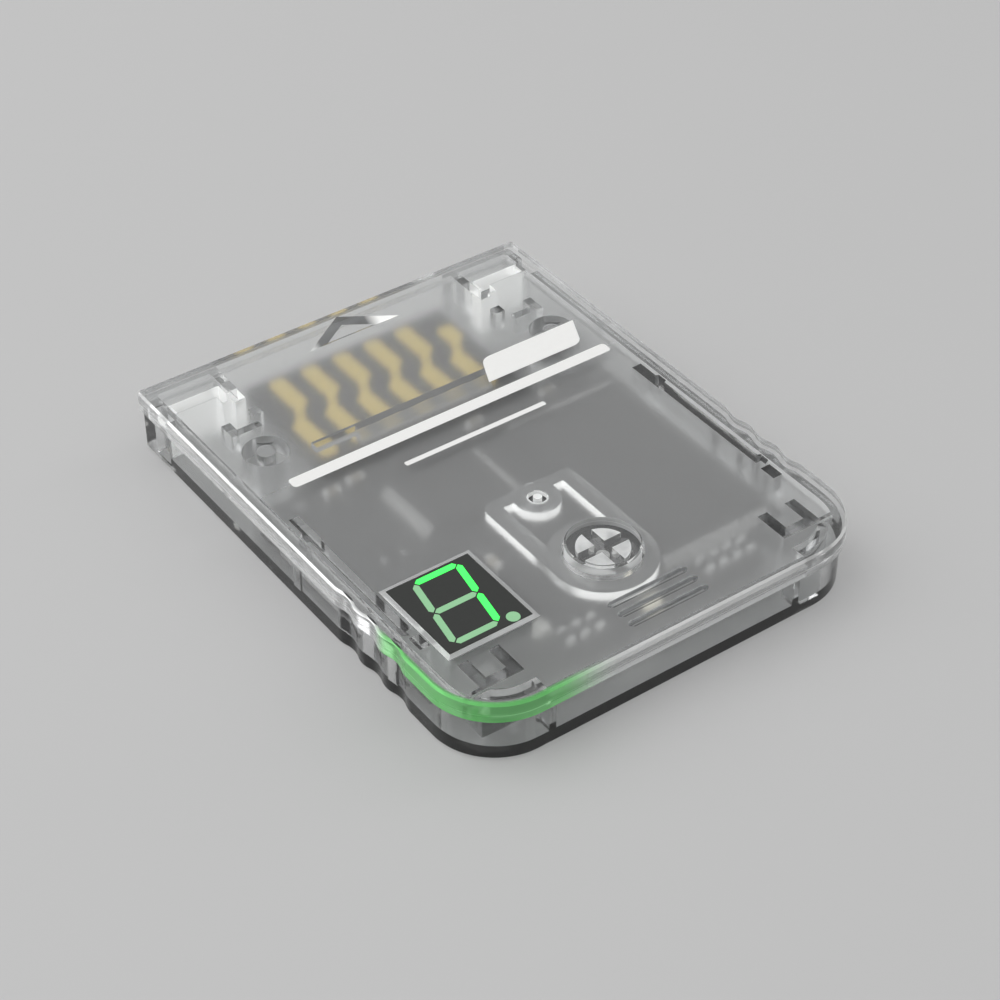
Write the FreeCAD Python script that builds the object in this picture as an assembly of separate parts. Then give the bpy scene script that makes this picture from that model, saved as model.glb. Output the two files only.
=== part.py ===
"""Memory card for a game console, in a clear two-part case.

Millimetres. The origin is at the centre of the underside. +Z is up, +Y points to the connector end and
+X is to the right when looking along +Y. The case is a cover with an edge band over a slightly narrower
tray. Between them lie the circuit board with its connector tongue, a one-digit display that stands in
a framed window of the cover, and a push button on two thin arms that hangs from a pin of the cover and
presses a key switch.
"""
import FreeCAD, Part
import math
import os

# Case
width = 42.0
length = 53.0
height = 6.5
band_height = 1.9          # the cover's edge band, measured down from the top face
plate_thickness = 1.2
band_side_wall = 1.5
band_end_wall = 1.0
front_corner_radius = 6.5
back_corner_radius = 0.4
top_edge_bevel = 0.2
shell_inset = 0.4          # how far the tray lies inside the cover's outline
shell_side_wall = 1.4
shell_front_wall = 1.1
shell_back_wall = 1.4
floor_thickness = 1.0
bottom_edge_bevel = 0.3
root = 0.3                 # how deep a part is sunk into the wall it grows from
overcut = 1.0              # how far a cut runs past the face it opens

# Finger grips: a wave of tangent arcs along both long sides
grip_from_front = 20.3
grip_pitch = 3.55
grip_count = 3
grip_depth = 0.33

# Fits and clearances
part_clearance = 0.1       # between the cover's inner ribs and the tray
seam_gap = 0.04            # between the cover's band and the tray's rim
press_clearance = 0.05     # round pins and in the display's window
button_clearance = 0.2     # round the cap, for the slight tilt of its stroke
rest_gap = 0.02            # between inlaid pieces of the display

# Circuit board, with its edges measured from the case's outline
board_thickness = 1.0
board_rest = 0.5           # height of the rails that carry the board
board_from_side = 2.8
board_from_back = 17.5
board_from_front = 5.2
shoulder_from_side = 7.8
shoulder_from_front = 7.9
board_corner = 0.8
tongue_from_back = 1.8
tongue_margin = 1.25       # from the outer contacts to the tongue's edges
mouth_margin = 1.8         # from the tongue's edges to the mouth's sides

# Connector contacts, with both rows measured from the back edge
contact_count = 6
contact_pitch = 3.5
contact_width = 1.8
contact_thickness = 0.05
contact_corner = 0.35
front_row_shift = 0.85
front_row_from_back = (7.0, 2.3)
front_last_from_back = 4.4
rear_row_shift = -0.7
rear_row_from_back = (14.6, 8.9)
contact_gap = 0.2
tail_inset = 0.35

# Display
display_from_side = 3.145
display_from_front = 12.46
display_width = 8.15
display_length = 9.15
display_proud = 0.17
display_frame = 0.5
display_film = 0.15
well_depth = 0.6
digit_margin = (1.9, 0.7)  # from the display's edges to the middle of the outer bars
digit_stroke = 0.62
digit_gap = 0.1
digit_slant = 9.6
digit_offset = (-0.2, 0.12)
point_radius = 0.6
point_margin = (1.475, 0.625)
pin_size = 0.5
pin_columns = 5
pin_margin = (1.075, 0.675)  # from the display's edges to its outer pins
pin_stub = 0.3

# Button
button_from_front = 11.1
cap_radius = 3.3
cap_proud = 0.77
cap_pocket_radius = 2.35
cap_roof = 1.2
cap_edge_bevel = 0.15
cross_rib = 1.05
lever_arm = 9.2            # from the cap's middle to the eyelet's
arm_thickness = 0.95
arm_gap = 0.1              # between the arms and the cover's plate
arm_half_span = 4.8        # the flange round the cap has the same radius
arm_width = 1.6
arm_corner = 1.2
bridge_from_pivot = (0.6, 1.9)
eyelet_radius = 2.1
pivot_radius = 0.85
pivot_bore = 0.4
pivot_head_radius = 1.35
pivot_head = 0.25

# Key switch
switch_size = (3.0, 2.6)
switch_height = 1.3
plunger_radius = 0.6
plunger_stroke = 0.3
plunger_stem = 0.35        # how far the plunger reaches into the switch at rest
terminal_width = 0.6
terminal_reach = 0.5
terminal_thickness = 0.15

# Ribs on the underside of the cover
side_rib_from_side = (2.9, 1.9)
side_rib_from_front = 10.3
side_rib_to_board_end = 5.35
side_rib_step = 0.15       # how much thinner the long rib's middle length is
front_lug_from_front = 13.0
back_lug_to_board_end = 8.2
lug_length = 1.6
lug_proud = 0.3
lug_relief = 0.2
clip_from_side = 5.35
clip_from_front = (3.65, 7.15)
clip_width = 4.1
clip_wall = 1.05
clip_tie = 0.35
clip_gap_to_floor = 0.2
boss_from_side = 5.3
boss_from_back = 13.7
boss_radius = 2.15
boss_bore = 0.85
cross_wall_from_back = (15.9, 15.0)
cross_wall_reach = 0.9     # past the tongue's edges
cross_wall_drop = 0.6
cross_foot_half = 7.2
cross_foot_gap = 1.0
mouth_rib_from_mouth = (0.3, 1.2)
mouth_rib_from_back = 4.5
shelf_from_back = (4.4, 3.0)
shelf_from_mouth = 1.5
shelf_step = (1.0, 1.1)
shelf_hook_from_mouth = 0.4
shelf_hook_length = 1.6
shelf_gap_to_floor = 0.2
small_rib_rise = 0.9       # from the board to the small ribs
small_rib_from_back = (10.4, 9.6)
small_rib_from_mouth = (1.3, 4.4)
small_rib_leg = (0.9, 1.2)
stub_rib_from_mouth = (0.2, 1.2)
stub_rib_from_back = (8.7, 7.7)
corner_wall_from_side = 7.6
corner_wall_inner = (2.6, 2.4)
corner_wall_thickness = 1.0
corner_wall_from_front = 3.4
corner_wall_drop = 1.7     # how far it hangs below the plate

# Grooves and arrow on the top face
groove_length = 8.3
groove_width = 0.8
groove_depth = 0.25
groove_pitch = 1.38
groove_from_front = 5.1
groove_count = 3
arrow_half = 4.9
arrow_from_back = (4.1, 0.9)
arrow_depth = 0.45
arrow_bevel = 0.7

# Tray details
notch_from_back = (4.8, 2.3)
notch_depth = 0.8
notch_bottom = 0.7
rail_width = 1.0
rail_inset = (1.0, 0.5)    # how far rail ends stay behind the board's edges
board_pin_from_side = 4.8
board_pin_radius = 0.8
board_pin_height = 0.8     # above the board
post_height = 3.2
post_depth = 2.1
wall_rib_from_side = 8.2
wall_rib_width = 0.7
wall_rib_reach = 1.4
wall_rib_height = 2.4

# Chips: the gaps from their neighbours set their sizes and places
controller_width = 8.5
controller_shift = -3.95
controller_to_button = 1.4
controller_to_board_end = 4.0
memory_under_arm = 0.05     # how far the memory chip reaches under the arm
memory_to_board_side = 1.05
memory_to_shoulder = 0.7
memory_to_board_end = 3.3
chip_thickness = 1.0
chip_standoff = 0.1
chip_edge_inset = 0.12
chip_dot_inset = 1.2
chip_dot_radius = 0.45
chip_dot_depth = 0.05
lead_width = 0.25
lead_pitch = 0.65
lead_margin = 0.4          # from a chip's corner to its first pin
lead_reach = 1.1
lead_thickness = 0.15
lead_foot = 0.5

# Small parts, placed from the board's edges or from their neighbours
led_shift = 1.3
led_to_board_front = 0.8
led_size = (1.6, 0.8, 0.6)
small_bevel = 0.12
chip_part_size = (1.6, 0.8, 0.7)
chip_part_end = 0.3
chip_part_step = 0.03      # how far the middle lies inside the metal ends
crystal_to_display = 1.205
crystal_to_board_front = 3.6
crystal_size = (2.0, 1.6, 0.6)
regulator_to_board_side = 5.4
regulator_to_controller = 2.95
regulator_size = (2.9, 1.4, 0.95)
regulator_pin_offset = 0.95
regulator_pin_width = 0.4
left_capacitors = ((5.6, 2.0), (8.3, 1.6))
right_capacitors = ((15.0, 1.2), (6.7, 1.2))
arm_capacitor = (1.8, 2.7)
resistor_pitch = 1.5
left_resistors = 3
left_resistor_to_display = 2.6
left_resistor_to_board_front = 1.5
right_resistors = 4
right_resistor_to_board_side = 0.9

# Sizes that follow from the ones above
half_width = width / 2
half_length = length / 2
plate_bottom = height - plate_thickness
band_bottom = height - band_height
rim_top = band_bottom - seam_gap
shell_half_width = half_width - shell_inset
room_half_width = shell_half_width - shell_side_wall
room_front_y = -half_length + shell_inset + shell_front_wall
room_back_y = half_length - shell_back_wall
display_top = height + display_proud
cap_top = height + cap_proud


def from_front(distance):
    """A place along the card, measured from its front edge."""
    return distance - half_length


def from_back(distance):
    """A place along the card, measured from its back edge."""
    return half_length - distance


def from_side(distance):
    """A place across the card, measured from its right side."""
    return half_width - distance


def from_mouth(distance):
    """A place across the card, measured from the mouth's side."""
    return mouth_width / 2 + distance


# The board, its tongue and the mouth round it
board_bottom = floor_thickness + board_rest
board_top = board_bottom + board_thickness
board_half = from_side(board_from_side)
board_back_y = from_back(board_from_back)
board_front_y = from_front(board_from_front)
board_front_half = from_side(shoulder_from_side)
board_shoulder_y = from_front(shoulder_from_front)
row_length = (contact_count - 1) * contact_pitch
tongue_width = row_length + contact_width + 2 * tongue_margin
tongue_end_y = from_back(tongue_from_back)
mouth_width = tongue_width + 2 * mouth_margin
front_row_x = front_row_shift - row_length / 2
front_row_y = (from_back(front_row_from_back[0]), from_back(front_row_from_back[1]))
rear_row_x = rear_row_shift - row_length / 2
rear_row_y = (from_back(rear_row_from_back[0]), from_back(rear_row_from_back[1]))

# The display, the button and its switch
display_x = -from_side(display_from_side + display_width / 2)
display_y = from_front(display_from_front)
display_right = display_x + display_width / 2
digit_half = (display_width / 2 - digit_margin[0], display_length / 2 - digit_margin[1])
point_place = (display_right - point_margin[0], display_y - display_length / 2 + point_margin[1])
button_y = from_front(button_from_front)
cap_hole_radius = cap_radius + button_clearance
pivot_y = button_y + lever_arm
arm_top = plate_bottom - arm_gap
arm_bottom = arm_top - arm_thickness
bridge_y = (pivot_y + bridge_from_pivot[0], pivot_y + bridge_from_pivot[1])
plunger_top = arm_bottom - press_clearance

# Ribs, clips and pins
side_rib_x = (from_side(side_rib_from_side[0]), from_side(side_rib_from_side[1]))
side_rib_y = (from_front(side_rib_from_front), board_back_y - side_rib_to_board_end)
lug_places_y = (from_front(front_lug_from_front), board_back_y - back_lug_to_board_end)
clip_x = from_side(clip_from_side)
clip_y = (from_front(clip_from_front[0]), from_front(clip_from_front[1]))
clip_room = clip_width - 2 * clip_wall
boss_place = (from_side(boss_from_side), from_back(boss_from_back))
boss_pin_radius = boss_bore - press_clearance
cross_wall_y = (from_back(cross_wall_from_back[0]), from_back(cross_wall_from_back[1]))
cross_wall_half = tongue_width / 2 + cross_wall_reach

# Chips and small parts: the middle of each body, and its size
controller_y = (bridge_y[1] + controller_to_button, board_back_y - controller_to_board_end)
controller_place = (controller_shift, (controller_y[0] + controller_y[1]) / 2)
controller_size = (controller_width, controller_y[1] - controller_y[0])
memory_x = (arm_half_span - memory_under_arm, board_half - memory_to_board_side)
memory_tips_y = (board_shoulder_y + memory_to_shoulder, board_back_y - memory_to_board_end)
memory_place = ((memory_x[0] + memory_x[1]) / 2, (memory_tips_y[0] + memory_tips_y[1]) / 2)
memory_size = (memory_x[1] - memory_x[0], memory_tips_y[1] - memory_tips_y[0] - 2 * lead_reach)
board_pin_place = (from_side(board_pin_from_side), memory_tips_y[1] + board_pin_radius + part_clearance)
led_place = (led_shift, board_front_y + led_to_board_front)
crystal_place = (display_right + crystal_to_display, board_front_y + crystal_to_board_front)
regulator_place = (-board_half + regulator_to_board_side, controller_place[1] - regulator_to_controller)
lying_capacitors = ([(-board_half + x, board_back_y - y) for x, y in left_capacitors]
                    + [(board_half - x, board_back_y - y) for x, y in right_capacitors])
standing_capacitors = [(-arm_half_span - arm_capacitor[0], pivot_y - arm_capacitor[1])]
resistor_y = (memory_tips_y[0] + board_front_y) / 2
right_row_x = board_front_half - right_resistor_to_board_side
resistor_places = [(display_right + left_resistor_to_display + number * resistor_pitch,
                    board_front_y + left_resistor_to_board_front) for number in range(left_resistors)]
resistor_places += [(right_row_x - number * resistor_pitch, resistor_y)
                    for number in range(right_resistors)]

vector = FreeCAD.Vector


def block(x0, x1, y0, y1, z0, z1):
    """A box between two corners given as ranges."""
    return Part.makeBox(x1 - x0, y1 - y0, z1 - z0, vector(x0, y0, z0))


def post(x, y, z0, z1, radius):
    """An upright round bar."""
    return Part.makeCylinder(radius, z1 - z0, vector(x, y, z0))


def joined(shapes):
    """All shapes fused into one."""
    first = shapes[0]
    return first.fuse(shapes[1:]).removeSplitter() if len(shapes) > 1 else first


def mirrored(shape):
    """The same shape on the other side of the centre plane."""
    return shape.mirror(vector(0, 0, 0), vector(1, 0, 0))


def both_sides(shapes):
    """The shapes and their mirror images."""
    return shapes + [mirrored(shape) for shape in shapes]


def prism(points, z0, z1):
    """An upright prism on a closed outline of corner points."""
    corners = [vector(x, y, z0) for x, y in points]
    wire = Part.makePolygon(corners + corners[:1])
    return Part.Face(wire).extrude(vector(0, 0, z1 - z0))


def rounded_block(x0, x1, y0, y1, z0, z1, front_radius, back_radius):
    """A box whose upright edges are rounded, with one radius at the front and one at the back."""
    solid = block(x0, x1, y0, y1, z0, z1)
    middle = (y0 + y1) / 2
    for radius, front in ((front_radius, True), (back_radius, False)):
        edges = [edge for edge in solid.Edges if is_upright(edge)
                 and (edge.CenterOfMass.y < middle) == front]
        solid = solid.makeFillet(radius, edges)
    return solid


def is_upright(edge):
    """Whether an edge is a straight line along Z."""
    start, end = edge.firstVertex().Point, edge.lastVertex().Point
    return abs(start.x - end.x) < 1e-6 and abs(start.y - end.y) < 1e-6


def edges_at(solid, z):
    """The edges that lie flat at one height."""
    return [edge for edge in solid.Edges
            if abs(edge.BoundBox.ZMin - z) < 1e-5 and abs(edge.BoundBox.ZMax - z) < 1e-5]


def arc(start, middle, end):
    """An arc through three points of the plan."""
    points = [vector(x, y, 0) for x, y in (start, middle, end)]
    return Part.Arc(*points).toShape()


def line(start, end):
    """A straight edge of the plan."""
    return Part.LineSegment(vector(*start, 0), vector(*end, 0)).toShape()


def grip_edges(side_x):
    """One side's grip: arcs that swing between the side face and the bottom of each dip."""
    run = grip_pitch / 4
    drop = grip_depth / 2
    radius = (run * run + drop * drop) / (2 * drop)
    part_drop = radius - math.sqrt(radius * radius - run * run / 4)
    start = from_front(grip_from_front)
    y = start
    edges = [arc((side_x, y), (side_x - part_drop, y - run / 2), (side_x - drop, y - run))]
    for number in range(grip_count):
        y = start - run - number * grip_pitch
        edges.append(arc((side_x - drop, y), (side_x - grip_depth, y - run), (side_x - drop, y - 2 * run)))
        if number < grip_count - 1:
            crest = y - 3 * run
            edges.append(arc((side_x - drop, y - 2 * run), (side_x, crest), (side_x - drop, y - 4 * run)))
    y -= 2 * run
    edges.append(arc((side_x - drop, y), (side_x - part_drop, y - run / 2), (side_x, y - run)))
    return edges, y - run


def case_outline(inset):
    """The card's outline, drawn in at the sides and the front, with both grips."""
    side = half_width - inset
    front = -half_length + inset
    back = half_length
    radius = front_corner_radius - inset
    turn = math.sin(math.radians(45))
    small = back_corner_radius
    grips, grip_end = grip_edges(side)
    half = [arc((side - small, back), (side - small + small * turn, back - small + small * turn),
                (side, back - small)),
            line((side, back - small), (side, from_front(grip_from_front)))]
    half += grips
    half += [line((side, grip_end), (side, front + radius)),
             arc((side, front + radius), (side - radius + radius * turn, front + radius - radius * turn),
                 (side - radius, front))]
    edges = half + [mirrored(edge) for edge in half]
    edges.append(line((side - radius, front), (radius - side, front)))
    edges.append(line((side - small, back), (small - side, back)))
    return Part.Face(Part.Wire(Part.__sortEdges__(edges)))


def case_body(inset, z0, z1):
    """The outline raised to a solid."""
    face = case_outline(inset)
    face.translate(vector(0, 0, z0))
    return face.extrude(vector(0, 0, z1 - z0))


def band_room():
    """The space inside the cover's edge band."""
    side = half_width - band_side_wall
    end = half_length - band_end_wall
    return rounded_block(-side, side, -end, end, band_bottom, plate_bottom,
                         front_corner_radius - band_side_wall, back_corner_radius)


def shell_room(gap, z0, z1):
    """The space inside the tray, drawn in by a gap."""
    side = room_half_width - gap
    return rounded_block(-side, side, room_front_y + gap, room_back_y - gap, z0, z1,
                         front_corner_radius - shell_inset - shell_side_wall, back_corner_radius)


def snap_lug(y, grow):
    """A lug on the outer face of a side rib. It also cuts its pocket when grown."""
    inner = side_rib_x[1] - root
    outer = side_rib_x[1] + lug_proud
    half = lug_length / 2
    points = ((inner, y - half), (outer, y - half + lug_proud), (outer, y + half - lug_proud),
              (inner, y + half))
    solid = prism(points, floor_thickness, plate_bottom)
    if grow:
        solid = solid.makeOffsetShape(grow, 1e-4, join=2)
    return solid


def side_ribs():
    """The long rib beside the board, in three lengths, with its snap lugs."""
    x0, x1 = side_rib_x
    y0, y1 = side_rib_y
    front_break = lug_places_y[0] - lug_length / 2 - lug_relief
    back_break = lug_places_y[1] - lug_length / 2 - lug_relief
    bottom = board_top + part_clearance
    return [block(x0, x1, y0, front_break, bottom, plate_bottom),
            block(x0 + side_rib_step, x1, front_break + lug_length / 2, back_break, bottom, plate_bottom),
            block(x0, x1, back_break, y1, bottom, plate_bottom)]


def lugs():
    """The two snap lugs of one side, down to the level of the board."""
    bottom = block(0, half_width, -half_length, half_length, board_top + part_clearance, plate_bottom)
    return [snap_lug(y, 0).common(bottom) for y in lug_places_y]


def corner_clip():
    """A clip at a front corner: a U that opens towards the connector end."""
    half = clip_width / 2
    y0, y1 = clip_y
    bottom = floor_thickness + clip_gap_to_floor
    outer = block(clip_x - half, clip_x + half, y0, y1, bottom, plate_bottom)
    inner = block(clip_x - clip_room / 2, clip_x + clip_room / 2, y0 + clip_wall, y1, bottom, plate_bottom)
    tie = block(clip_x + half, room_half_width, y0, y0 + clip_tie, plate_bottom - corner_wall_drop,
                plate_bottom)
    return [outer.cut(inner), tie]


def ring_boss():
    """A hollow boss that takes a pin of the tray."""
    x, y = boss_place
    return post(x, y, floor_thickness + clip_gap_to_floor, plate_bottom, boss_radius)


def mouth_ribs():
    """The walls beside the connector tongue: mouth rib, shelf, its steps and the short ribs."""
    shelf_x = from_mouth(shelf_from_mouth)
    shelf_y0, shelf_y1 = from_back(shelf_from_back[0]), from_back(shelf_from_back[1])
    shelf_z = (floor_thickness + shelf_gap_to_floor, plate_bottom)
    step_x, step_y = shelf_step
    hook_x = from_mouth(shelf_hook_from_mouth)
    rib_z = (board_top + small_rib_rise, plate_bottom)
    rib_x0, rib_x1 = from_mouth(small_rib_from_mouth[0]), from_mouth(small_rib_from_mouth[1])
    rib_y0, rib_y1 = from_back(small_rib_from_back[0]), from_back(small_rib_from_back[1])
    leg_width, leg_length = small_rib_leg
    return [block(from_mouth(mouth_rib_from_mouth[0]), from_mouth(mouth_rib_from_mouth[1]),
                  from_back(mouth_rib_from_back), half_length, board_top, plate_bottom),
            block(shelf_x, half_width, shelf_y0, shelf_y1, *shelf_z),
            block(shelf_x, shelf_x + step_x, shelf_y0 - step_y, shelf_y1, *shelf_z),
            block(hook_x, shelf_x, shelf_y0 - shelf_hook_length, shelf_y0, *shelf_z),
            block(rib_x0, rib_x1, rib_y0, rib_y1, *rib_z),
            block(rib_x1 - leg_width, rib_x1, rib_y0, rib_y1 + leg_length, *rib_z),
            block(from_mouth(stub_rib_from_mouth[0]), from_mouth(stub_rib_from_mouth[1]),
                  from_back(stub_rib_from_back[0]), from_back(stub_rib_from_back[1]), *rib_z)]


def corner_wall():
    """The wall inside a front corner that locates the tray."""
    end_y = from_front(corner_wall_from_front)
    room = block(from_side(corner_wall_from_side), half_width, -half_length, end_y,
                 plate_bottom - corner_wall_drop, plate_bottom)
    side = from_side(corner_wall_inner[0])
    front = from_front(corner_wall_inner[1])
    radius = front_corner_radius - band_side_wall - corner_wall_thickness
    return room.cut(rounded_block(-side, side, front, half_length, 0, height, radius, corner_wall_thickness))


def cross_wall():
    """The wall across the card behind the contacts, with a deeper foot at its middle."""
    top = block(-cross_wall_half, cross_wall_half, *cross_wall_y, plate_bottom - cross_wall_drop,
                plate_bottom)
    foot = block(-cross_foot_half, cross_foot_half, *cross_wall_y, board_top + cross_foot_gap,
                 plate_bottom)
    return [top, foot]


def window_frame():
    """The bevelled frame that rises round the display's window."""
    x_half = display_width / 2
    y_half = display_length / 2
    outer = display_frame
    low = Part.makePolygon(rectangle(x_half + outer, y_half + outer, height - root))
    edge = Part.makePolygon(rectangle(x_half + outer, y_half + outer, height))
    high = Part.makePolygon(rectangle(x_half, y_half, display_top))
    base = Part.makeLoft([low, edge], True, True)
    slope = Part.makeLoft([edge, high], True, True)
    return base.fuse(slope)


def rectangle(x_half, y_half, z):
    """The closed corner list of a rectangle centred on the display."""
    signs = ((-1, -1), (1, -1), (1, 1), (-1, 1), (-1, -1))
    return [vector(display_x + sx * x_half, display_y + sy * y_half, z) for sx, sy in signs]


def display_window():
    """The through hole that the display stands in."""
    x_half = display_width / 2 + press_clearance
    y_half = display_length / 2 + press_clearance
    return block(display_x - x_half, display_x + x_half, display_y - y_half, display_y + y_half,
                 plate_bottom - overcut, display_top + overcut)


def groove(y):
    """A groove with a rounded bottom that slopes up at both ends."""
    radius = (groove_width * groove_width / 4 + groove_depth * groove_depth) / (2 * groove_depth)
    centre_z = height + radius - groove_depth
    reach = groove_length / 2 - groove_width / 2
    bar = Part.makeCylinder(radius, 2 * reach, vector(-reach, y, centre_z), vector(1, 0, 0))
    ends = [Part.makeCone(radius, radius - groove_depth, groove_width / 2, vector(side * reach, y, centre_z),
                          vector(side, 0, 0)) for side in (-1, 1)]
    return bar.fuse(ends)


def arrow_recess():
    """The insertion arrow: a triangular pocket with sloping sides."""
    low = triangle(arrow_bevel, height - arrow_depth)
    high = triangle(0, height)
    above = triangle(0, height + overcut)
    return Part.makeLoft([low, high], True, True).fuse(Part.makeLoft([high, above], True, True))


def triangle(inset, z):
    """The arrow's outline, drawn in by an inset measured square to its sides."""
    rise = arrow_from_back[0] - arrow_from_back[1]
    slope = math.atan2(rise, arrow_half)
    half = arrow_half - inset / math.tan(slope / 2)
    base = from_back(arrow_from_back[0]) + inset
    tip = base + half * math.tan(slope)
    corners = (vector(-half, base, z), vector(half, base, z), vector(0, tip, z))
    return Part.makePolygon(corners + corners[:1])


def pivot_pin():
    """The headed pin that carries the button's eyelet."""
    bottom = arm_bottom - part_clearance - pivot_head
    shank = post(0, pivot_y, bottom, plate_bottom, pivot_radius)
    head = post(0, pivot_y, bottom, bottom + pivot_head, pivot_head_radius)
    return [shank, head]


def top_cover():
    """The clear cover: plate and edge band with everything moulded on it."""
    body = case_body(0, band_bottom, height)
    body = body.makeChamfer(top_edge_bevel, edges_at(body, height))
    body = body.cut(band_room())
    sided = side_ribs() + lugs() + corner_clip() + [ring_boss()] + mouth_ribs() + [corner_wall()]
    ribs = both_sides(sided) + cross_wall()
    room = band_room().fuse(shell_room(part_clearance, 0, band_bottom))
    pockets = joined(both_sides(lugs()))
    ribs = joined(ribs).common(joined([room, pockets]))
    body = joined([body, ribs, window_frame()] + pivot_pin())
    cuts = [display_window(), arrow_recess(),
            post(0, button_y, 0, cap_top, cap_hole_radius),
            post(0, pivot_y, 0, plate_bottom, pivot_bore)]
    cuts += [groove(from_front(groove_from_front) - number * groove_pitch)
             for number in range(groove_count)]
    cuts += both_sides([post(*boss_place, 0, plate_bottom, boss_bore)])
    return body.cut(cuts)


def tray_pins():
    """Pins for the cover's bosses and for the board."""
    sunk = floor_thickness - root
    return [post(*boss_place, sunk, plate_bottom - part_clearance, boss_pin_radius),
            post(*board_pin_place, sunk, board_top + board_pin_height, board_pin_radius)]


def tray_posts():
    """The post that fills a corner clip and the short rib on the front wall."""
    half = clip_room / 2 - part_clearance
    y0 = clip_y[0] + clip_wall + part_clearance
    rib_x = from_side(wall_rib_from_side)
    sunk = floor_thickness - root
    return [block(clip_x - half, clip_x + half, y0, y0 + post_depth, sunk, floor_thickness + post_height),
            block(rib_x - wall_rib_width / 2, rib_x + wall_rib_width / 2, room_front_y - root,
                  room_front_y + wall_rib_reach, sunk, floor_thickness + wall_rib_height)]


def board_rails():
    """The rails on the floor that the board lies on."""
    tongue_x = tongue_width / 2 - rail_inset[0]
    end, side = rail_inset
    z = (floor_thickness - root, board_bottom)
    rails = both_sides([
        block(board_half - rail_width, board_half, board_shoulder_y + end, board_back_y - side, *z),
        block(tongue_x - rail_width, tongue_x, board_back_y + end, tongue_end_y - end, *z)])
    front_x = board_front_half - end
    front_y = board_front_y + side
    return rails + [block(-front_x, front_x, front_y, front_y + rail_width, *z)]


def bottom_shell():
    """The clear tray with the connector mouth in its end wall."""
    body = case_body(shell_inset, 0, rim_top)
    body = body.makeChamfer(bottom_edge_bevel, edges_at(body, 0))
    body = body.cut(shell_room(0, floor_thickness, rim_top + overcut))
    body = joined([body] + both_sides(tray_pins() + tray_posts()) + board_rails())
    mouth = block(-mouth_width / 2, mouth_width / 2, room_back_y - overcut, half_length + overcut,
                  floor_thickness, rim_top + overcut)
    notch = block(shell_half_width - notch_depth, half_width, from_back(notch_from_back[0]),
                  from_back(notch_from_back[1]), notch_bottom, rim_top + overcut)
    pockets = [snap_lug(y, part_clearance) for y in lug_places_y]
    return body.cut([mouth] + both_sides([notch] + pockets))


def circuit_board():
    """The board: wide body, narrower front and the connector tongue."""
    front_half = board_front_half
    tongue_half = tongue_width / 2
    z = (board_bottom, board_top)
    corners = (board_corner, board_corner)
    main = rounded_block(-board_half, board_half, board_shoulder_y, board_back_y, *z, *corners)
    front = rounded_block(-front_half, front_half, board_front_y, 0, *z, *corners)
    tongue = rounded_block(-tongue_half, tongue_half, 0, tongue_end_y, *z, *corners)
    board = joined([main, front, tongue])
    holes = both_sides([post(*board_pin_place, 0, height, board_pin_radius + press_clearance)])
    return board.cut(holes + [pin_bar(place, press_clearance, 0, height) for place in display_pin_places()])


def contact(x, y0, y1, bend):
    """One gold finger with a slanted tail; a positive bend leans the top, a negative one the foot."""
    half = contact_width / 2
    z = (board_top, board_top + contact_thickness)
    corner = contact_corner
    pad = prism(((x - half + corner, y0), (x + half - corner, y0), (x + half, y0 + corner),
                 (x + half, y1 - corner), (x + half - corner, y1), (x - half + corner, y1),
                 (x - half, y1 - corner), (x - half, y0 + corner)), *z)
    lean = (rear_row_x - front_row_x) / 2
    reach = (front_row_y[0] - rear_row_y[1] - contact_gap) / 2
    inner = half - tail_inset
    if bend > 0:
        base, end, shift = y1 - corner, y1 + reach, -lean
    else:
        base, end, shift = y0 + corner, y0 - reach, lean
    tail = prism(((x - inner, base), (x + inner, base), (x + shift + inner, end),
                  (x + shift - inner, end)), *z)
    return pad.fuse(tail).removeSplitter()


def front_contacts():
    """The row of fingers nearest the mouth; the last one is shorter."""
    fingers = []
    for number in range(contact_count):
        last = number == contact_count - 1
        end = from_back(front_last_from_back) if last else front_row_y[1]
        fingers.append(contact(front_row_x + number * contact_pitch, front_row_y[0], end, -1))
    return Part.makeCompound(fingers)


def rear_contacts():
    """The row of fingers behind, half a step to the side."""
    return Part.makeCompound([contact(rear_row_x + number * contact_pitch, *rear_row_y, 1)
                              for number in range(contact_count)])


def slanted(x, y):
    """A point of the digit, leaned over and moved to its place on the display."""
    lean = math.tan(math.radians(digit_slant))
    return (display_x + digit_offset[0] + x + y * lean, display_y + digit_offset[1] + y)


def segment(start, end, grow, z0, z1):
    """One bar of the digit with pointed ends."""
    half = digit_stroke / 2 + grow
    gap = digit_gap - grow
    along = (end[0] - start[0], end[1] - start[1])
    size = math.hypot(*along)
    ux, uy = along[0] / size, along[1] / size
    stops = ((gap, 0), (gap + half, half), (size - gap - half, half), (size - gap, 0),
             (size - gap - half, -half), (gap + half, -half))
    points = [slanted(start[0] + ux * run - uy * side, start[1] + uy * run + ux * side)
              for run, side in stops]
    return prism(points, z0, z1)


def digit_bars(names, grow, z0, z1):
    """The named bars of the digit, a at the top and then clockwise, g in the middle."""
    x, y = digit_half
    ends = {"a": ((-x, y), (x, y)), "b": ((x, y), (x, 0)), "c": ((x, 0), (x, -y)),
            "d": ((-x, -y), (x, -y)), "e": ((-x, 0), (-x, -y)), "f": ((-x, y), (-x, 0)),
            "g": ((-x, 0), (x, 0))}
    return [segment(*ends[name], grow, z0, z1) for name in names]


def decimal_point(grow, z0, z1):
    """The round point at the digit's lower right."""
    return post(*point_place, z0, z1, point_radius + grow)


def display_wells(z0):
    """The openings for every bar and the point."""
    top = display_top + overcut
    return digit_bars("abcdefg", rest_gap, z0, top) + [decimal_point(rest_gap, z0, top)]


def display_block(z0, z1):
    """The display's outline between two heights."""
    x_half = display_width / 2
    y_half = display_length / 2
    return block(display_x - x_half, display_x + x_half, display_y - y_half, display_y + y_half, z0, z1)


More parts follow.
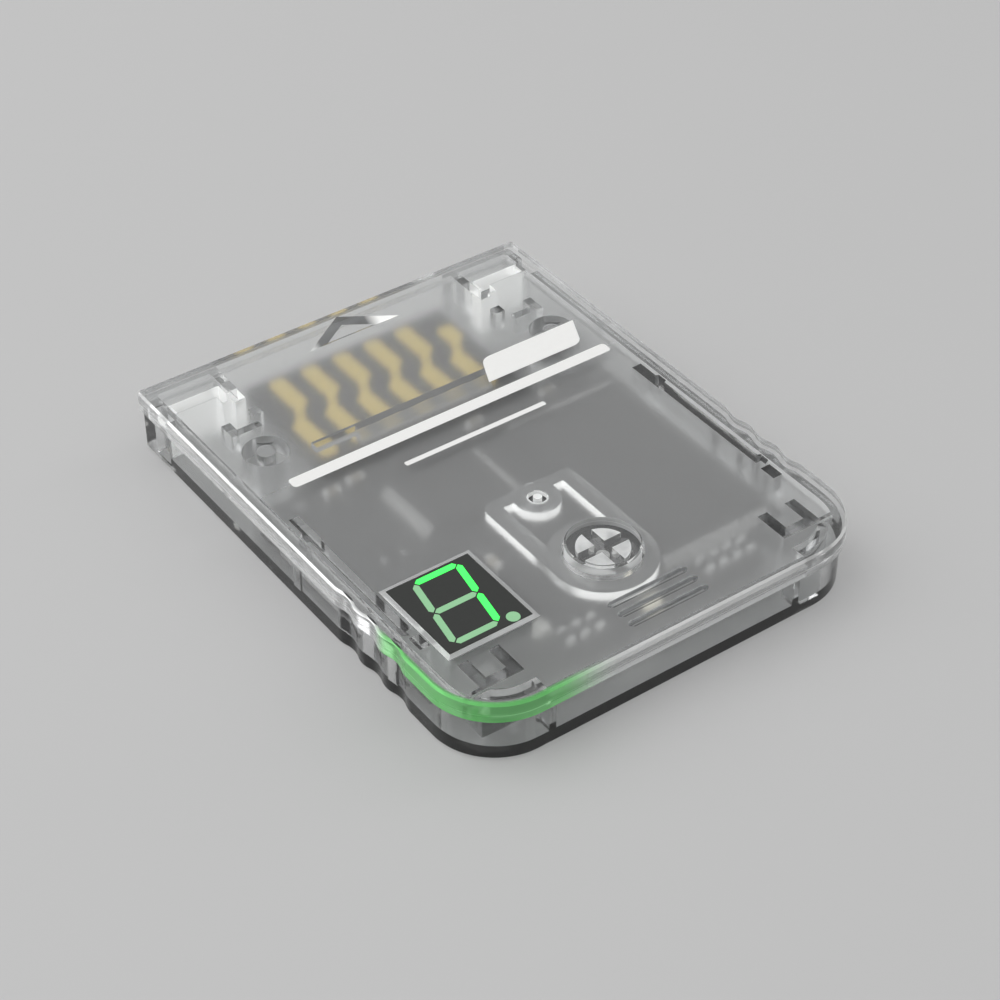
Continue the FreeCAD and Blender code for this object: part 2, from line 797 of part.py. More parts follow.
def display_housing():
    """The pale moulded body of the display, with a well for each bar."""
    body = display_block(board_top, display_top - display_film)
    return body.cut(display_wells(display_top - display_film - well_depth))


def display_face():
    """The dark film on top of the display, open over each bar."""
    return display_block(display_top - display_film, display_top).cut(display_wells(0))


def bars_in_place(names):
    """Bars that stand in their wells, flush with the film."""
    return digit_bars(names, 0, display_top - display_film - well_depth + rest_gap, display_top)


def lit_segments():
    """The three bars that are lit."""
    return Part.makeCompound(bars_in_place("abc"))


def unlit_segments():
    """The four dark bars and the point."""
    point = decimal_point(0, display_top - display_film - well_depth + rest_gap, display_top)
    return Part.makeCompound(bars_in_place("defg") + [point])


def display_pin_places():
    """The two rows of pins under the display."""
    first_x = display_x - display_width / 2 + pin_margin[0]
    pitch = 2 * (display_x - first_x) / (pin_columns - 1)
    row_y = display_length / 2 - pin_margin[1]
    return [(first_x + column * pitch, display_y + row * row_y)
            for row in (-1, 1) for column in range(pin_columns)]


def pin_bar(place, grow, z0, z1):
    """A square pin of the display, or its hole when grown."""
    x, y = place
    half = pin_size / 2 + grow
    return block(x - half, x + half, y - half, y + half, z0, z1)


def display_pins():
    """The pins, through the board and a little out of it."""
    return Part.makeCompound([pin_bar(place, 0, board_bottom - pin_stub, board_top)
                              for place in display_pin_places()])


def mode_button():
    """The clear button: cap with a cross rib, flange, two arms, bridge and eyelet."""
    z = (arm_bottom, arm_top)
    inner = arm_half_span - arm_width
    flange = post(0, button_y, *z, arm_half_span)
    frame = block(-arm_half_span, arm_half_span, button_y, bridge_y[1], *z)
    frame = frame.makeFillet(arm_corner, [edge for edge in frame.Edges if is_upright(edge)
                                          and edge.CenterOfMass.y > pivot_y])
    frame = frame.cut(block(-inner, inner, button_y, bridge_y[0], *z))
    eyelet = post(0, pivot_y, *z, eyelet_radius)
    neck = block(-eyelet_radius, eyelet_radius, pivot_y, bridge_y[1], *z)
    cap = post(0, button_y, arm_bottom, cap_top, cap_radius)
    cap = cap.makeChamfer(cap_edge_bevel, edges_at(cap, cap_top))
    body = joined([flange, frame, eyelet, neck, cap])
    pocket = post(0, button_y, 0, cap_top - cap_roof, cap_pocket_radius)
    half = cross_rib / 2
    reach = cap_radius
    cross = [block(-half, half, button_y - reach, button_y + reach, arm_bottom, cap_top),
             block(-reach, reach, button_y - half, button_y + half, arm_bottom, cap_top)]
    bore = post(0, pivot_y, 0, height, pivot_radius + part_clearance)
    return body.cut([pocket.cut(joined(cross)), bore])


def switch_body():
    """The key switch under the cap, with the bore of its plunger."""
    x_half, y_half = switch_size[0] / 2, switch_size[1] / 2
    body = block(-x_half, x_half, button_y - y_half, button_y + y_half, board_top,
                 board_top + switch_height)
    floor = plunger_top - plunger_stroke - plunger_stem - plunger_stroke - press_clearance
    return body.cut(post(0, button_y, floor, height, plunger_radius + press_clearance))


def switch_plunger():
    """The round plunger that the cap presses."""
    low = plunger_top - plunger_stroke - plunger_stem
    return post(0, button_y, low, plunger_top, plunger_radius)


def switch_terminals():
    """Four flat terminals beside the switch."""
    x = switch_size[0] / 2
    y = switch_size[1] / 2 - terminal_width
    tabs = []
    for side in (-1, 1):
        for end in (-1, 1):
            x0, x1 = sorted((side * x, side * (x + terminal_reach)))
            y0 = button_y + end * y - (terminal_width / 2)
            tabs.append(block(x0, x1, y0, y0 + terminal_width, board_top, board_top + terminal_thickness))
    return Part.makeCompound(tabs)


def chip(place, size):
    """A chip body whose sides slope a little from the parting line."""
    z0 = board_top + chip_standoff
    z1 = z0 + chip_thickness
    middle = (z0 + z1) / 2
    wires = []
    for z, inset in ((z0, chip_edge_inset), (middle, 0), (z1, chip_edge_inset)):
        x_half, y_half = size[0] / 2 - inset, size[1] / 2 - inset
        corners = [vector(place[0] + sx * x_half, place[1] + sy * y_half, z)
                   for sx, sy in ((-1, -1), (1, -1), (1, 1), (-1, 1), (-1, -1))]
        wires.append(Part.makePolygon(corners))
    dot = post(place[0] - size[0] / 2 + chip_dot_inset, place[1] + size[1] / 2 - chip_dot_inset,
               z1 - chip_dot_depth, z1 + overcut, chip_dot_radius)
    return Part.makeLoft(wires, True, True).cut(dot)


def lead(edge, side_ways, along_y):
    """One bent pin: shoulder, leg and foot, reaching away from a body's edge."""
    low = board_top
    shoulder = board_top + chip_standoff + chip_thickness / 2
    t = lead_thickness
    leg = lead_reach - lead_foot
    profile = ((0, shoulder - t / 2), (leg - t, shoulder - t / 2), (leg - t, low),
               (lead_reach, low), (lead_reach, low + t), (leg, low + t), (leg, shoulder + t / 2),
               (0, shoulder + t / 2))
    sign = side_ways
    if along_y:
        corners = [vector(edge[0] - lead_width / 2, edge[1] + sign * run, z) for run, z in profile]
        direction = vector(lead_width, 0, 0)
    else:
        corners = [vector(edge[0] + sign * run, edge[1] - lead_width / 2, z) for run, z in profile]
        direction = vector(0, lead_width, 0)
    return Part.Face(Part.makePolygon(corners + corners[:1])).extrude(direction)


def leads(place, size, along_y):
    """The pins on two opposite sides of a chip."""
    span = size[0] if along_y else size[1]
    count = int((span - 2 * lead_margin) / lead_pitch) + 1
    first = -(count - 1) * lead_pitch / 2
    shapes = []
    for number in range(count):
        offset = first + number * lead_pitch
        for sign in (-1, 1):
            if along_y:
                edge = (place[0] + offset, place[1] + sign * size[1] / 2)
            else:
                edge = (place[0] + sign * size[0] / 2, place[1] + offset)
            shapes.append(lead(edge, sign, along_y))
    return Part.makeCompound(shapes)


def placed(shapes, lying, standing):
    """Copies of small shapes at their places on the board; the standing ones get a quarter turn."""
    copies = []
    for places, angle in ((lying, 0), (standing, 90)):
        for x, y in places:
            for shape in shapes:
                moved = shape.copy()
                moved.rotate(vector(0, 0, 0), vector(0, 0, 1), angle)
                moved.translate(vector(x, y, board_top))
                copies.append(moved)
    return Part.makeCompound(copies)


def part_bodies(lying, standing):
    """The middles of a row of small two-ended parts."""
    half = chip_part_size[0] / 2 - chip_part_end
    wide = chip_part_size[1] / 2 - chip_part_step
    body = block(-half, half, -wide, wide, chip_part_step, chip_part_size[2] - chip_part_step)
    return placed([body], lying, standing)


def part_ends(lying, standing):
    """The soldered metal ends of the same parts."""
    half = chip_part_size[0] / 2
    wide = chip_part_size[1] / 2
    tall = chip_part_size[2]
    return placed([block(-half, -half + chip_part_end, -wide, wide, 0, tall),
                   block(half - chip_part_end, half, -wide, wide, 0, tall)], lying, standing)


def small_block(place, size):
    """A plain rectangular part standing on the board."""
    return block(place[0] - size[0] / 2, place[0] + size[0] / 2, place[1] - size[1] / 2,
                 place[1] + size[1] / 2, board_top, board_top + size[2])


def clock_crystal():
    """The crystal: a ceramic base with a raised metal lid."""
    body = small_block(crystal_place, crystal_size)
    return body.makeChamfer(small_bevel, [edge for edge in body.Edges if is_upright(edge)])


def regulator():
    """The three-pin regulator's body."""
    body = small_block(regulator_place, regulator_size)
    return body.makeChamfer(small_bevel, edges_at(body, board_top + regulator_size[2]))


def regulator_pins():
    """Its three flat pins, two on one side and one on the other."""
    x, y = regulator_place
    half = regulator_size[1] / 2
    wide = regulator_pin_width / 2
    offset = regulator_pin_offset
    tabs = []
    for centre, side in ((x - offset, -1), (x + offset, -1), (x, 1)):
        y0, y1 = sorted((y + side * half, y + side * (half + terminal_reach)))
        tabs.append(block(centre - wide, centre + wide, y0, y1, board_top,
                          board_top + terminal_thickness))
    return Part.makeCompound(tabs)


def status_led():
    """The light under the grooves: a small rectangular body with a bevelled lens."""
    body = small_block(led_place, led_size)
    return body.makeChamfer(small_bevel, edges_at(body, board_top + led_size[2]))


nodes = {
    "top_cover": top_cover,
    "bottom_shell": bottom_shell,
    "circuit_board": circuit_board,
    "front_contacts": front_contacts,
    "rear_contacts": rear_contacts,
    "display_housing": display_housing,
    "display_face": display_face,
    "lit_segments": lit_segments,
    "unlit_segments": unlit_segments,
    "display_pins": display_pins,
    "mode_button": mode_button,
    "switch_body": switch_body,
    "switch_plunger": switch_plunger,
    "switch_terminals": switch_terminals,
    "controller_chip": lambda: chip(controller_place, controller_size),
    "controller_pins": lambda: leads(controller_place, controller_size, False),
    "memory_chip": lambda: chip(memory_place, memory_size),
    "memory_pins": lambda: leads(memory_place, memory_size, True),
    "clock_crystal": clock_crystal,
    "regulator": regulator,
    "regulator_pins": regulator_pins,
    "capacitors": lambda: part_bodies(lying_capacitors, standing_capacitors),
    "capacitor_ends": lambda: part_ends(lying_capacitors, standing_capacitors),
    "resistors": lambda: part_bodies([], resistor_places),
    "resistor_ends": lambda: part_ends([], resistor_places),
    "status_led": status_led,
}

os.makedirs("parts", exist_ok=True)
for name, make in nodes.items():
    make().exportStep("parts/" + name + ".step")
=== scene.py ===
"""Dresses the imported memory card: materials for every solid, the print on its cover, and a plain studio."""
import math

import bmesh
import bpy
from bpy.props import FloatProperty, FloatVectorProperty, IntProperty, PointerProperty
from mathutils import Matrix, Vector


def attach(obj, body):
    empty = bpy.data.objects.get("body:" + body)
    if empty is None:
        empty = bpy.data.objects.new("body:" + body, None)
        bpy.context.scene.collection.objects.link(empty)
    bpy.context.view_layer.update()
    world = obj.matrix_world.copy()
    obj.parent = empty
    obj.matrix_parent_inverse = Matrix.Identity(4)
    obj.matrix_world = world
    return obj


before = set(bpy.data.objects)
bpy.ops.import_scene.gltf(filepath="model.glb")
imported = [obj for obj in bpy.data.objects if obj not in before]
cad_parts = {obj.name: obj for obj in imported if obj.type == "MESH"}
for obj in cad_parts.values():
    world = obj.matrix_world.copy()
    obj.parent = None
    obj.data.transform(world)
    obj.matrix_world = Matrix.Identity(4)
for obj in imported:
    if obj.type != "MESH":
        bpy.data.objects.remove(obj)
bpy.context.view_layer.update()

bl_info = {
    "name": "Clear memory card",
    "version": (1, 0, 0),
    "blender": (4, 5, 0),
    "location": "3D View > Sidebar > Memory card",
    "description": "Finishes, printed marks and studio for a memory card in a clear case",
    "category": "Object",
}

MM = 0.001


def linear(hex_code):
    """Turns an sRGB hex colour into the linear RGB that the shaders work in."""
    parts = [int(hex_code[i:i + 2], 16) / 255 for i in (1, 3, 5)]
    return tuple(c / 12.92 if c <= 0.04045 else ((c + 0.055) / 1.055) ** 2.4 for c in parts)


def colour(name, hex_code, description):
    """A colour setting with its default."""
    return FloatVectorProperty(name=name, description=description, subtype="COLOR", size=3, min=0.0,
                               max=1.0, default=linear(hex_code))


def distance(name, millimetres, description):
    """A length setting, given here in millimetres."""
    return FloatProperty(name=name, description=description, default=millimetres * MM, unit="LENGTH",
                         subtype="DISTANCE", precision=5)


class CardColours(bpy.types.PropertyGroup):
    """Colours of the card's materials."""
    plastic: colour("Clear plastic", "#ebecec", "Tint of the clear case and button")
    # Painted shade: a darker tint put on the cover's sloping faces, the front clips and the wall behind the
    # contacts.
    slope: colour("Sloping faces", "#6e7072", "Tint of the clear plastic seen through sloping faces")
    # Colour of the painted glow at the cover's corner, an emission standing in for the display's light.
    glow: colour("Corner glow", "#49c24c", "Colour of the display's light in the case's corner")
    # The ink colour is also the colour of the painted highlights on the cover and the button.
    ink: colour("Print", "#f5f5f3", "Ink of the marks printed on the cover")
    mask: colour("Solder mask", "#1a1b1c", "Lacquer on the circuit board")
    gold: colour("Gold plate", "#ffdf80", "Plating of the connector contacts")
    tin: colour("Tin", "#fbfbf8", "Tinned pins and soldered ends")
    epoxy: colour("Chip epoxy", "#1b1b1c", "Moulding compound of the chips")
    display_shell: colour("Display body", "#77797a", "Moulded body of the display")
    display_film: colour("Display film", "#303230", "Dark film round the display's bars")
    bar_lit: colour("Lit bar", "#40ff5c", "Light of the lit display bars")
    bar_unlit: colour("Unlit bar", "#9ac8a0", "Resin of the unlit display bars")
    switch: colour("Switch", "#262627", "Body of the key switch")
    plunger: colour("Plunger", "#bcbcba", "Plunger of the key switch")
    capacitor: colour("Capacitor", "#a29c90", "Fired ceramic of the capacitors")
    resistor: colour("Resistor", "#161617", "Glaze of the resistors")
    crystal: colour("Crystal lid", "#f4f4f0", "Rolled lid of the clock crystal")
    lamp: colour("Status light", "#fff8e4", "Light of the small lamp under the grooves")


class CardSizes(bpy.types.PropertyGroup):
    """Sizes of the printed marks and of the finishes."""
    frost_height: distance("Frost height", 5.3, "Height of the cover's frosted underside")
    ink_thickness: distance("Ink thickness", 0.02, "Thickness of the printed marks")
    stripe_width: distance("Stripe width", 1.3, "Width of the long printed stripe")
    stripe_left: distance("Stripe left end", -16.7, "Left end of the long stripe")
    stripe_right: distance("Stripe right end", 17.8, "Right end of the long stripe")
    stripe_y: distance("Stripe place", 7.0, "Middle line of the long stripe")
    rule_width: distance("Rule width", 0.55, "Width of the short printed rule")
    rule_left: distance("Rule left end", -7.15, "Left end of the short rule")
    rule_right: distance("Rule right end", 8.0, "Right end of the short rule")
    rule_y: distance("Rule place", 3.5, "Middle line of the short rule")
    tag_length: distance("Tag length", 11.0, "Length of the blank tag")
    tag_height: distance("Tag height", 3.3, "Height of the blank tag")
    tag_x: distance("Tag place across", 11.7, "Middle of the blank tag, across the card")
    tag_y: distance("Tag place along", 10.55, "Middle of the blank tag, along the card")


class StudioSettings(bpy.types.PropertyGroup):
    """Camera, lamps and floor."""
    floor: colour("Floor", "#c6c6c6", "Colour of the floor")
    room_low: colour("Room walls", "#8c8c8c", "Light of the room near the horizon")
    room_high: colour("Room ceiling", "#dcdcdc", "Light of the room from above")
    lens: FloatProperty(name="Lens", description="Focal length in millimetres", default=88.5)
    azimuth: FloatProperty(name="Azimuth", description="Camera's direction round the card",
                           default=math.radians(-35.879), subtype="ANGLE", unit="ROTATION")
    elevation: FloatProperty(name="Elevation", description="Camera's height above the horizon",
                             default=math.radians(39.711), subtype="ANGLE", unit="ROTATION")
    roll: FloatProperty(name="Roll", description="Camera's turn about its own axis",
                        default=math.radians(0.088), subtype="ANGLE", unit="ROTATION")
    camera_distance: distance("Camera distance", 210.44, "From the camera to the point it looks at")
    aim: FloatVectorProperty(name="Aim", description="Point the camera looks at", size=3,
                             subtype="TRANSLATION", unit="LENGTH",
                             default=(-3.299 * MM, -5.244 * MM, 6.5 * MM))
    key_power: FloatProperty(name="Key lamp", description="Power of the large lamp behind the card",
                             default=6.2, unit="POWER")
    side_power: FloatProperty(name="Side lamp", description="Power of the lamp on the left",
                              default=1.0, unit="POWER")


def per_mm(size):
    """A texture scale whose pattern repeats about once per given number of millimetres."""
    return 1.0 / (size * MM)


def add(tree, kind, inputs=None, **settings):
    """Adds one shader node with its settings; inputs are values or sockets, by name or number."""
    node = tree.nodes.new("ShaderNode" + kind)
    for name, value in settings.items():
        setattr(node, name, value)
    for name, value in (inputs or {}).items():
        if isinstance(value, bpy.types.NodeSocket):
            tree.links.new(value, node.inputs[name])
        else:
            node.inputs[name].default_value = value
    return node


def material(name):
    """An empty node material and its tree."""
    made = bpy.data.materials.new(name)
    made.use_nodes = True
    made.node_tree.nodes.clear()
    return made, made.node_tree


def rgba(values):
    """A colour setting with an opaque fourth part."""
    return (values[0], values[1], values[2], 1.0)


def dress(names, made):
    """Puts one material on every slot of the named solids."""
    for name in names:
        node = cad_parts[name]
        if not node.material_slots:
            node.data.materials.append(made)
        for slot in node.material_slots:
            slot.material = made


def wavy(tree, place, size, height):
    """A slow unevenness of a moulded face: the normal for a given wave size and height in millimetres."""
    noise = add(tree, "TexNoise", {"Vector": place, "Scale": per_mm(size), "Detail": 2.0})
    return add(tree, "Bump", {"Height": noise.outputs[0], "Distance": height * MM}).outputs[0]


def graded(tree, place, size, low, high):
    """A number that drifts between two values over patches of a given size in millimetres."""
    noise = add(tree, "TexNoise", {"Vector": place, "Scale": per_mm(size), "Detail": 3.0})
    return add(tree, "MapRange", {"Value": noise.outputs[0], "From Min": 0.3, "From Max": 0.7,
                                  "To Min": low, "To Max": high}).outputs[0]


def shaded(tree, place, size, base, share):
    """A colour that drifts by a share of its value over patches of a given size in millimetres."""
    noise = add(tree, "TexNoise", {"Vector": place, "Scale": per_mm(size), "Detail": 3.0})
    dark = tuple(part * (1 - share) for part in base[:3]) + (1.0,)
    light = tuple(min(1.0, part * (1 + share)) for part in base[:3]) + (1.0,)
    return add(tree, "Mix", {0: noise.outputs[0], 6: dark, 7: light}, data_type="RGBA").outputs[2]


def lamps_pass(tree, shader, tint):
    """Lets lamp rays through a clear solid, so that what is inside is lit."""
    through = add(tree, "BsdfTransparent", {"Color": tint})
    rays = add(tree, "LightPath")
    return add(tree, "MixShader", {0: rays.outputs["Is Shadow Ray"], 1: shader,
                                   2: through.outputs[0]}).outputs[0]


def moulded_polycarbonate_cover():
    """Clear polycarbonate from a polished mould whose window floor was spark-eroded.

    Outside faces mirror sharply, with the faint swell of a moulding. The underside of the plate is
    finely frosted, so the board below is soft while ribs that grow from it stay sharp. Sloping faces
    of the grooves, the arrow and the edges get painted shade, a darker tint that stands in for the view
    turned sideways into the plastic. A painted green glow at the near corner stands in for the
    display's light, and the shelves, the button's pin, the outer bevel and the arrow's ends carry
    painted highlights.
    """
    card = bpy.context.scene.card_colours
    sizes = bpy.context.scene.card_sizes
    made, tree = material("moulded_polycarbonate_cover")
    place = add(tree, "TexCoord").outputs["Object"]
    x, y, z = add(tree, "SeparateXYZ", {0: place}).outputs
    frost = add(tree, "Math", {0: z, 1: sizes.frost_height, 2: 0.03 * MM}, operation="COMPARE").outputs[0]
    end = add(tree, "Math", {0: y, 1: 25.4 * MM}, operation="GREATER_THAN").outputs[0]
    low = add(tree, "Math", {0: z, 1: 5.29 * MM}, operation="LESS_THAN").outputs[0]
    end = add(tree, "Math", {0: end, 1: low}, operation="MULTIPLY").outputs[0]
    frost = add(tree, "Math", {0: frost, 1: end}, operation="MAXIMUM").outputs[0]
    facing = add(tree, "SeparateXYZ", {0: add(tree, "NewGeometry").outputs["True Normal"]}).outputs[2]
    tilted = add(tree, "Math", {0: facing, 1: 0.78, 2: 0.2}, operation="COMPARE").outputs[0]
    below = add(tree, "Math", {0: z, 1: 6.51 * MM}, operation="LESS_THAN").outputs[0]
    slope = add(tree, "Math", {0: tilted, 1: below}, operation="MULTIPLY").outputs[0]
    # The shelves beside the mouth and the walls of the button's pin are matte and carry a painted highlight.
    across = add(tree, "Math", {0: x}, operation="ABSOLUTE").outputs[0]
    shelf = add(tree, "Math", {0: across, 1: 16.2 * MM, 2: 3.15 * MM}, operation="COMPARE").outputs[0]
    for side, middle, half in ((y, 22.0, 1.6), (z, 3.3, 1.9)):
        inside = add(tree, "Math", {0: side, 1: middle * MM, 2: half * MM}, operation="COMPARE").outputs[0]
        shelf = add(tree, "Math", {0: shelf, 1: inside}, operation="MULTIPLY").outputs[0]
    flat = add(tree, "VectorMath", {0: place, 1: (1, 1, 0)}, operation="MULTIPLY").outputs[0]
    from_pin = add(tree, "VectorMath", {0: flat, 1: (0.0, -6.2 * MM, 0.0)},
                   operation="DISTANCE").outputs["Value"]
    pin = add(tree, "Math", {0: from_pin, 1: 1.0 * MM}, operation="LESS_THAN").outputs[0]
    shank = add(tree, "Math", {0: z, 1: 4.7 * MM, 2: 0.5 * MM}, operation="COMPARE").outputs[0]
    pin = add(tree, "Math", {0: pin, 1: shank}, operation="MULTIPLY").outputs[0]
    matte_and_painted_highlight = add(tree, "Math", {0: shelf, 1: pin}, operation="MAXIMUM").outputs[0]
    # The frame round the display's window is left matte.
    frame_top = add(tree, "Math", {0: z, 1: 6.505 * MM}, operation="GREATER_THAN").outputs[0]
    # A painted green glow, an emission that stands in for the display's light, starts among the left grips,
    # fades along the front and keeps to the case's outer skin; it also tints the plastic green.
    reach = add(tree, "Math", {0: x, 1: 1.5, 2: y}, operation="MULTIPLY_ADD").outputs[0]
    front = add(tree, "MapRange", {"Value": reach, "From Min": -36 * MM, "From Max": -46 * MM},
                interpolation_type="SMOOTHSTEP").outputs[0]
    side = add(tree, "MapRange", {"Value": y, "From Min": -11.5 * MM, "From Max": -14 * MM},
               interpolation_type="SMOOTHSTEP").outputs[0]
    corner = add(tree, "Math", {0: front, 1: side}, operation="MULTIPLY").outputs[0]
    mirrored = add(tree, "CombineXYZ", {0: across, 1: y}).outputs[0]
    turned = add(tree, "VectorMath", {0: mirrored, 1: (1, -1, 0), 2: (-14.5 * MM, -20 * MM, 0)},
                 operation="MULTIPLY_ADD").outputs[0]
    outward = add(tree, "VectorMath", {0: turned, 1: (0, 0, 0)}, operation="MAXIMUM").outputs[0]
    out = add(tree, "VectorMath", {0: outward}, operation="LENGTH").outputs["Value"]
    skin = add(tree, "Math", {0: out, 1: 6.1 * MM}, operation="GREATER_THAN").outputs[0]
    upper = add(tree, "Math", {0: z, 1: 4.5 * MM}, operation="GREATER_THAN").outputs[0]
    rim = add(tree, "Math", {0: skin, 1: upper}, operation="MULTIPLY").outputs[0]
    lit = add(tree, "Math", {0: corner, 1: rim}, operation="MULTIPLY").outputs[0]
    # The edge band's walls and the wall behind the contacts are satin from the mould, with a faint painted
    # sheen.
    upright = add(tree, "Math", {0: facing, 1: 0.0, 2: 0.5}, operation="COMPARE").outputs[0]
    outer = add(tree, "Math", {0: out, 1: 5.6 * MM}, operation="GREATER_THAN").outputs[0]
    satin = add(tree, "Math", {0: upright, 1: outer}, operation="MULTIPLY").outputs[0]
    satin = add(tree, "Math", {0: satin, 1: upper}, operation="MULTIPLY").outputs[0]
    # A painted highlight on the small bevel of the plate's outer edge stands in for light that runs inside
    # the plate and leaves it there; the bevel gets no painted shade.
    bevel = add(tree, "Math", {0: slope, 1: skin}, operation="MULTIPLY").outputs[0]
    slope = add(tree, "Math", {0: slope, 1: bevel}, operation="SUBTRACT").outputs[0]
    matte_and_painted_highlight = add(tree, "Math", {0: bevel, 1: 0.6, 2: matte_and_painted_highlight}, operation="MULTIPLY_ADD").outputs[0]
    wall = add(tree, "Math", {0: y, 1: 11.05 * MM, 2: 0.5 * MM}, operation="COMPARE").outputs[0]
    hung = add(tree, "Math", {0: z, 1: 5.27 * MM}, operation="LESS_THAN").outputs[0]
    wall = add(tree, "Math", {0: wall, 1: hung}, operation="MULTIPLY").outputs[0]
    satin = add(tree, "Math", {0: satin, 1: wall}, operation="MAXIMUM").outputs[0]
    # The arrow's sloping sides have painted shade towards its tip and a painted highlight at its ends.
    along = add(tree, "Math", {0: x, 1: 0.25, 2: across}, operation="MULTIPLY_ADD").outputs[0]
    painted_arrow_highlight = add(tree, "MapRange", {"Value": along, "From Min": 2.6 * MM, "From Max": 4.0 * MM}).outputs[0]
    at_end = add(tree, "Math", {0: y, 1: 22.0 * MM}, operation="GREATER_THAN").outputs[0]
    painted_arrow_highlight = add(tree, "Math", {0: painted_arrow_highlight, 1: at_end}, operation="MULTIPLY").outputs[0]
    painted_arrow_highlight = add(tree, "Math", {0: painted_arrow_highlight, 1: slope}, operation="MULTIPLY").outputs[0]
    slope = add(tree, "Math", {0: slope, 1: painted_arrow_highlight}, operation="SUBTRACT").outputs[0]
    # The front clips and the wall behind the contacts get painted shade, in place of the view down to the
    # dark floor of the case.
    clip = add(tree, "Math", {0: across, 1: 15.65 * MM, 2: 2.1 * MM}, operation="COMPARE").outputs[0]
    row = add(tree, "Math", {0: y, 1: -21.1 * MM, 2: 1.8 * MM}, operation="COMPARE").outputs[0]
    clip = add(tree, "Math", {0: clip, 1: row}, operation="MULTIPLY").outputs[0]
    clip = add(tree, "Math", {0: clip, 1: hung}, operation="MULTIPLY").outputs[0]
    slope = add(tree, "Math", {0: clip, 1: 0.6, 2: slope}, operation="MULTIPLY_ADD").outputs[0]
    slope = add(tree, "Math", {0: wall, 1: 0.5, 2: slope}, operation="MULTIPLY_ADD").outputs[0]
    base = add(tree, "Mix", {0: slope, 6: rgba(card.plastic), 7: rgba(card.slope)},
               data_type="RGBA").outputs[2]
    tinted = add(tree, "Math", {0: lit, 1: 0.85}, operation="MULTIPLY").outputs[0]
    base = add(tree, "Mix", {0: tinted, 6: base, 7: rgba(card.glow)}, data_type="RGBA").outputs[2]
    grain = add(tree, "MapRange", {"Value": y, "From Min": 3.0 * MM, "From Max": 8.0 * MM,
                                   "To Min": 0.31, "To Max": 0.27}).outputs[0]
    rough = add(tree, "MapRange", {"Value": frost, "To Min": 0.03, "To Max": grain}).outputs[0]
    rough = add(tree, "Math", {0: satin, 1: 0.2, 2: rough}, operation="MULTIPLY_ADD").outputs[0]
    rough = add(tree, "Math", {0: matte_and_painted_highlight, 1: 0.3, 2: rough}, operation="MULTIPLY_ADD").outputs[0]
    rough = add(tree, "Math", {0: frame_top, 1: 0.35, 2: rough}, operation="MULTIPLY_ADD").outputs[0]
    clear = add(tree, "MapRange", {"Value": frost, "To Min": 1.0, "To Max": 0.84}).outputs[0]
    clear = add(tree, "Math", {0: satin, 1: -0.15, 2: clear}, operation="MULTIPLY_ADD").outputs[0]
    clear = add(tree, "Math", {0: matte_and_painted_highlight, 1: -0.5, 2: clear}, operation="MULTIPLY_ADD").outputs[0]
    clear = add(tree, "Math", {0: frame_top, 1: -0.38, 2: clear}, operation="MULTIPLY_ADD").outputs[0]
    clear = add(tree, "Math", {0: lit, 1: -0.35, 2: clear}, operation="MULTIPLY_ADD").outputs[0]
    # Painted light: the ink colour, turning to the glow colour in the painted glow.
    painted_light = add(tree, "Mix", {0: lit, 6: rgba(card.ink), 7: rgba(card.glow)},
                   data_type="RGBA").outputs[2]
    # Strength of the painted light: the corner glow, the highlights on shelves, pin, bevel and arrow ends,
    # and a faint sheen on the satin walls.
    painted_light_strength = add(tree, "Math", {0: lit, 1: 0.08}, operation="MULTIPLY").outputs[0]
    painted_light_strength = add(tree, "Math", {0: matte_and_painted_highlight, 1: 0.25, 2: painted_light_strength}, operation="MULTIPLY_ADD").outputs[0]
    painted_light_strength = add(tree, "Math", {0: painted_arrow_highlight, 1: 0.7, 2: painted_light_strength}, operation="MULTIPLY_ADD").outputs[0]
    painted_light_strength = add(tree, "Math", {0: satin, 1: 0.03, 2: painted_light_strength}, operation="MULTIPLY_ADD").outputs[0]
    plastic = add(tree, "BsdfPrincipled", {
        "Base Color": base, "Roughness": rough, "IOR": 1.585, "Transmission Weight": clear,
        "Normal": wavy(tree, place, 5.0, 0.004), "Emission Color": painted_light,
        "Emission Strength": painted_light_strength}).outputs[0]
    add(tree, "OutputMaterial", {"Surface": lamps_pass(tree, plastic, (0.93, 0.93, 0.93, 1.0))})
    return made


def moulded_polycarbonate_tray():
    """Clear polycarbonate from a polished mould: glassy, with the faint swell of a moulding."""
    made, tree = material("moulded_polycarbonate_tray")
    place = add(tree, "TexCoord").outputs["Object"]
    plastic = add(tree, "BsdfPrincipled", {
        "Base Color": rgba(bpy.context.scene.card_colours.plastic),
        "Roughness": graded(tree, place, 8.0, 0.06, 0.12), "IOR": 1.585,
        "Transmission Weight": 1.0, "Normal": wavy(tree, place, 5.0, 0.006)}).outputs[0]
    add(tree, "OutputMaterial", {"Surface": lamps_pass(tree, plastic, (0.72, 0.72, 0.72, 1.0))})
    return made


